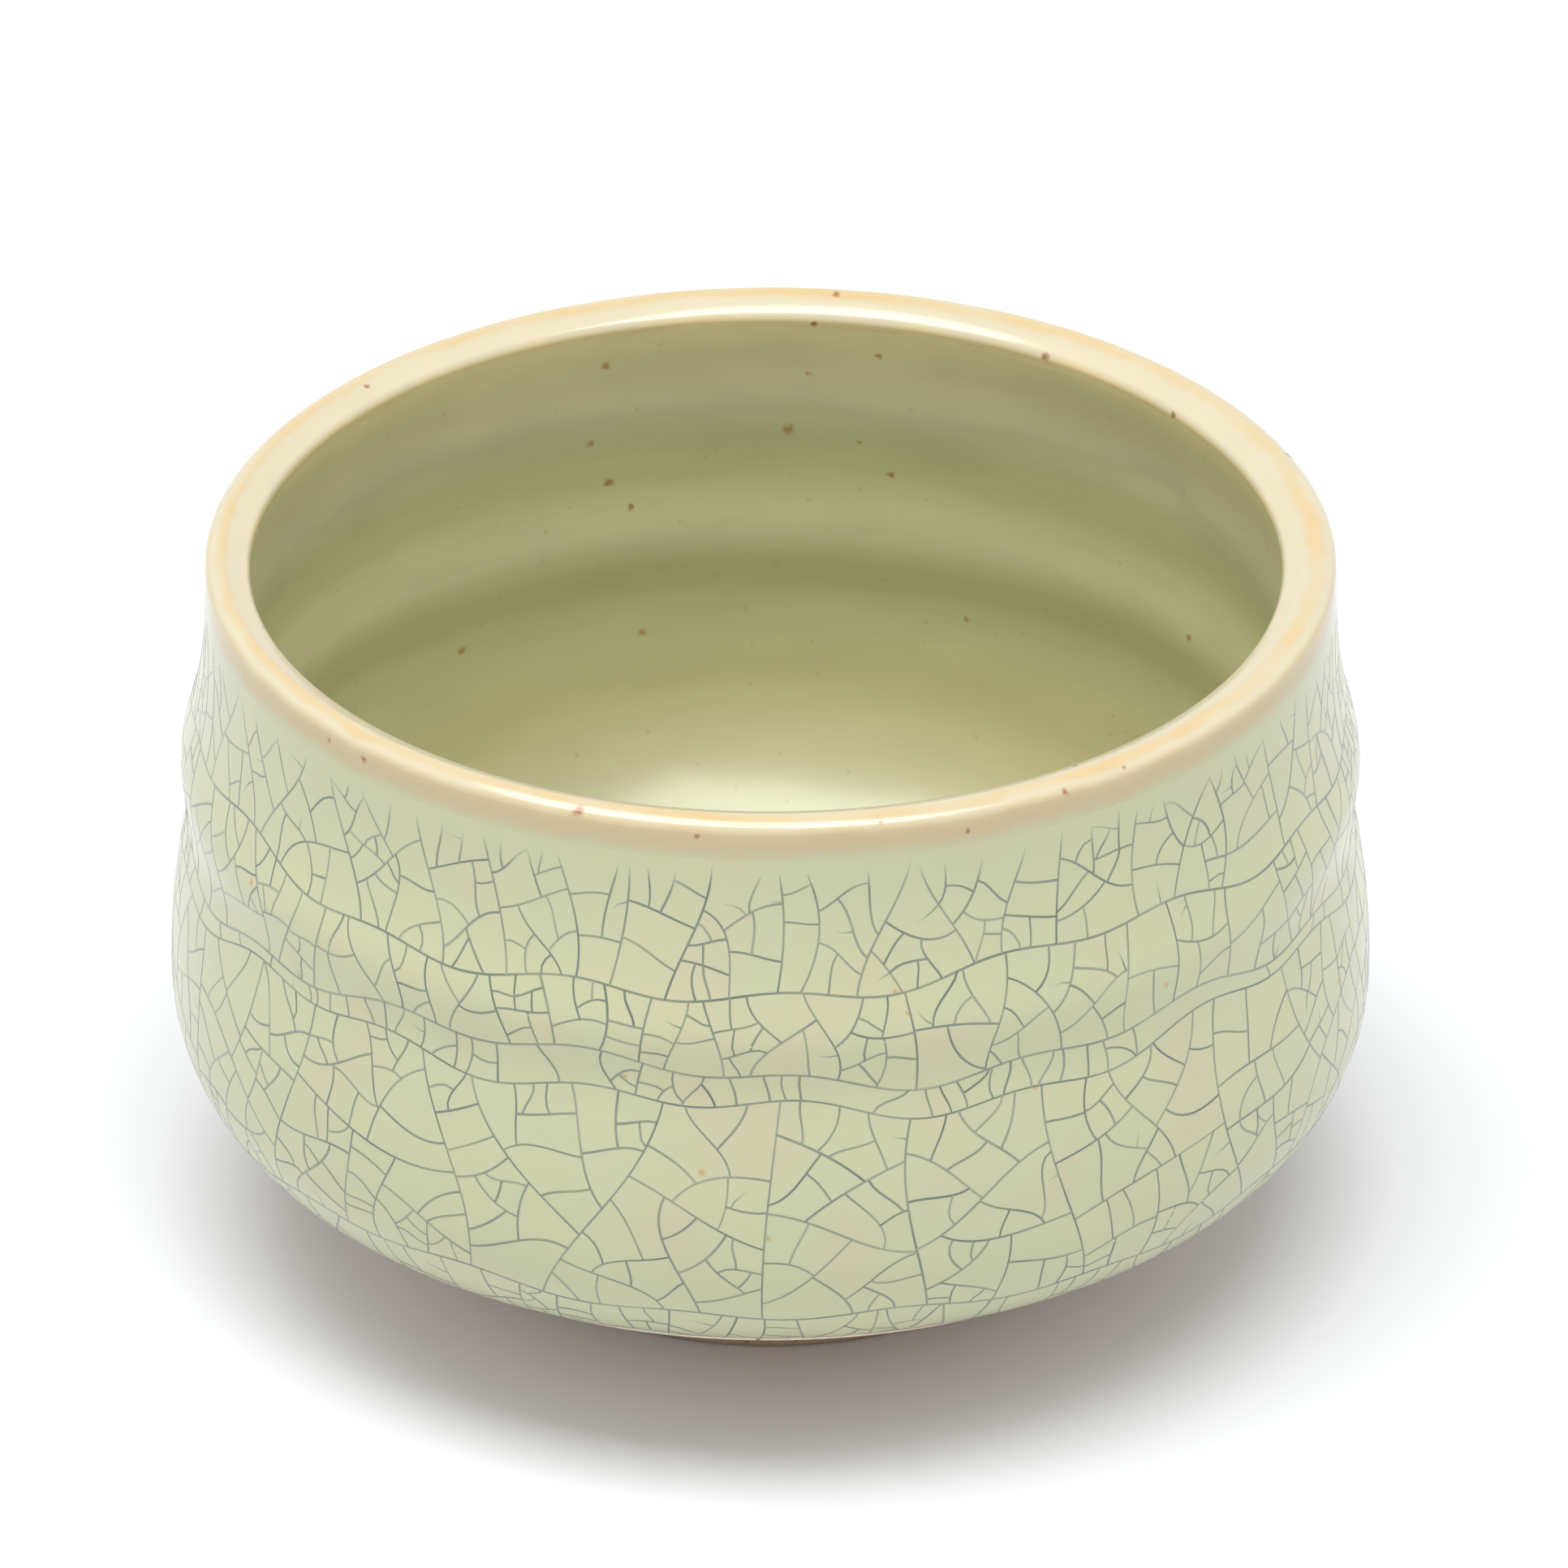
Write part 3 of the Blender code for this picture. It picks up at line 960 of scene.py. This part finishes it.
# Each line is a string of wedges whose three sides are painted side by side in one row. A side
# is two of the wedge's three edges and the stretch of the row's height that it fills.
WEDGE_SIDES = ((0, 1, 0.3, 0.7), (1, 2, 0.7, 0.9), (2, 0, 0.1, 0.3))
rows = 1 + int(sum(running[-1] + 1 for _, _, running in laid) / (ROW_LENGTH * ROW_FILL))
line_points, line_faces, line_corners, line_stain = [], [], [], []
row, used = 0, 0.0
for wedges, strength, running in laid:
    base, count = len(line_points), len(wedges)
    line_points += [tuple(point) for point in wedges.reshape(-1, 3)]
    line_stain += [value for value in strength for _ in range(3)]
    start = 0
    for i in range(count - 1):
        if used + running[i + 1] - running[start] > ROW_LENGTH - 2:
            row, used, start = row + 1, 0.0, i
        left = (used + running[i] - running[start]) / ROW_LENGTH
        right = (used + running[i + 1] - running[start]) / ROW_LENGTH
        a, b = base + 3 * i, base + 3 * i + 3
        for near, far, low, high in WEDGE_SIDES:
            line_faces.append((a + near, a + far, b + far, b + near))
            low, high = (row + low) / rows, (row + high) / rows
            line_corners += [left, low, left, high, right, high, right, low]
    used += running[-1] - running[start] + 1.0
    last = base + 3 * (count - 1)
    for ends in ((base + 2, base + 1, base), (last, last + 1, last + 2)):
        line_faces.append(ends)
        line_corners += [right, (row + 0.5) / rows] * 3

line_mesh = bpy.data.meshes.new("stained_crackle_lines")
line_mesh.from_pydata(line_points, [], line_faces)
line_mesh.uv_layers.new(name="OFBake").uv.foreach_set("vector", line_corners)
stain_values = line_mesh.attributes.new("stain", "FLOAT", "POINT")
stain_values.data.foreach_set("value", line_stain)
crackle_lines = bpy.data.objects.new("stained_crackle_lines", line_mesh)
scene.collection.objects.link(crackle_lines)

# Stained cracks: grey-green under a film of clear glaze, which pales them where the wall turns
# away, and fading to the glaze's own colour where the stain is weak
stained, shader = new_material(
    "tea_stained_cracks", IOR=1.55, Roughness=0.2, Coat_Weight=0.3, Coat_Roughness=0.1
)
stain = add_node(stained, "Attribute", attribute_name="stain").outputs["Fac"]
ink = colour_ramp(stained, stain, ((0.0, "#B3B594"), (1.0, "#5C665D")))
stained.node_tree.links.new(ink, shader.inputs["Base Color"])
line_mesh.materials.append(stained)
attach(crackle_lines, "root")

# ---------------------------------------------------------------------------
# Rim band: over the lip the two glazes run thin and together, and break to cream on the bevels,
# to amber where the iron gathers, and to a pinkish buff below the outer shoulder.
# ---------------------------------------------------------------------------
rim_section, rim_at, rim_hidden = glaze_coat(BAND_START, BAND_END)
rim_band = turned("amber_rim_glaze_band", rim_section, rim_at, rim_hidden, 6)

# Amber celadon: the glossiest glaze of the bowl. The softbox draws one thin white line along the
# front bevel and another along the far one, and the colours between them run from cream to buff
LIP_WANDER = 0.9  # how far the lip's colours stray across it
AMBER_LEAN = 9.0  # how far the amber line strays outwards, in mm per metre towards the front
amber, shader = new_material("glossy_amber_celadon", IOR=1.55, Roughness=0.15)
place = add_node(amber, "TexCoord").outputs["Object"]
depth = add_node(amber, "Attribute", attribute_name="from_crest").outputs["Fac"]
flow = add_node(amber, "TexNoise", [("Vector", place)], Scale=per_mm(6), Detail=5)
wander = add_node(
    amber, "Math", [(0, flow.outputs["Fac"])], operation="MULTIPLY_ADD",
    in_1=2 * LIP_WANDER, in_2=-LIP_WANDER,
)
level = add_node(amber, "Math", [(0, depth), (1, wander.outputs[0])], operation="ADD")
across = add_node(
    amber, "MapRange", [("Value", level.outputs[0])],
    From_Min=-BAND_INSIDE, From_Max=BAND_OUTSIDE,
)
# Colours across the lip by distance from the crest, from the inside out. The pale stops inside the
# crest are partly the glaze's cream break and partly painted light: the highlight's soft fall-off
# and a lightening against the shade under the lip.
LIP_COLOURS_AND_PAINTED_LIGHT = (
    (-5.0, "#DACEA4"), (-4.6, "#D8C99C"), (-4.2, "#D3BD91"), (-3.8, "#D2C298"),
    (-3.2, "#C8BEA2"), (-1.8, "#C2B99E"), (0.0, "#BFB79C"), (1.3, "#C4BCA2"),
    (1.9, "#C4B592"), (2.5, "#BEAB82"), (3.2, "#B8A77F"), (3.9, "#B6A984"),
    (4.5, "#B5AF8D"), (5.0, "#B4B393"),
)
bands = colour_ramp(amber, across.outputs[0], [
    ((where + BAND_INSIDE) / (BAND_INSIDE + BAND_OUTSIDE), colour) for where, colour in LIP_COLOURS_AND_PAINTED_LIGHT
])
# The amber line lies on the crest at the sides, and just outside it at the front
backward = add_node(amber, "SeparateXYZ", [(0, place)]).outputs["Y"]
from_line = add_node(
    amber, "Math", [(0, backward), (2, level.outputs[0])], operation="MULTIPLY_ADD",
    in_1=AMBER_LEAN,
)
off_line = add_node(amber, "Math", [(0, from_line.outputs[0])], operation="ABSOLUTE")
patchy = add_node(amber, "TexNoise", [("Vector", place)], Scale=per_mm(11), Detail=2)
richness = add_node(
    amber, "MapRange", [("Value", patchy.outputs["Fac"])],
    From_Min=0.35, From_Max=0.65, To_Min=0.35, To_Max=0.95,
)
amber_share = add_node(
    amber, "MapRange", [("Value", off_line.outputs[0]), ("To Min", richness.outputs[0])],
    interpolation_type="SMOOTHSTEP", From_Min=0.1, From_Max=1.25, To_Max=0.0,
)
breaking = add_node(
    amber, "Mix", [("Factor", amber_share.outputs[0]), (6, bands)],
    data_type="RGBA", in_7=linear("#C4AA79"),
)
# Grains in the band as (angle, distance from the crest, radius)
RIM_GRAINS = (
    (82.5, -0.4, 0.28), (84.5, -4.2, 0.18), (56.0, -3.6, 0.3), (36.2, -3.6, 0.24),
    (113.8, 0.8, 0.18), (250.8, 1.4, 0.42), (262.8, 2.7, 0.16), (281.0, 1.4, 0.2),
    (289.8, 3.6, 0.16), (300.5, 1.9, 0.26), (304.5, -1.7, 0.24), (307.8, 1.4, 0.14),
    (220.5, 3.0, 0.24), (225.5, 3.0, 0.24), (197.2, -2.9, 0.16), (233.2, 3.0, 0.14),
    (20.0, 1.2, 0.2), (140.0, -1.5, 0.22), (165.0, 2.0, 0.18),
)
grains = [(angle, CREST + along, radius) for angle, along, radius in RIM_GRAINS]
rim_colour = iron_specks(amber, breaking.outputs[2], grains, "#8A5226")
finish_glaze(amber, shader, rim_colour, place, peel_size=5, peel_strength=0.2)
rim_band.data.materials.append(amber)
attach(rim_band, "root")
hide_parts("rim_glaze_band")
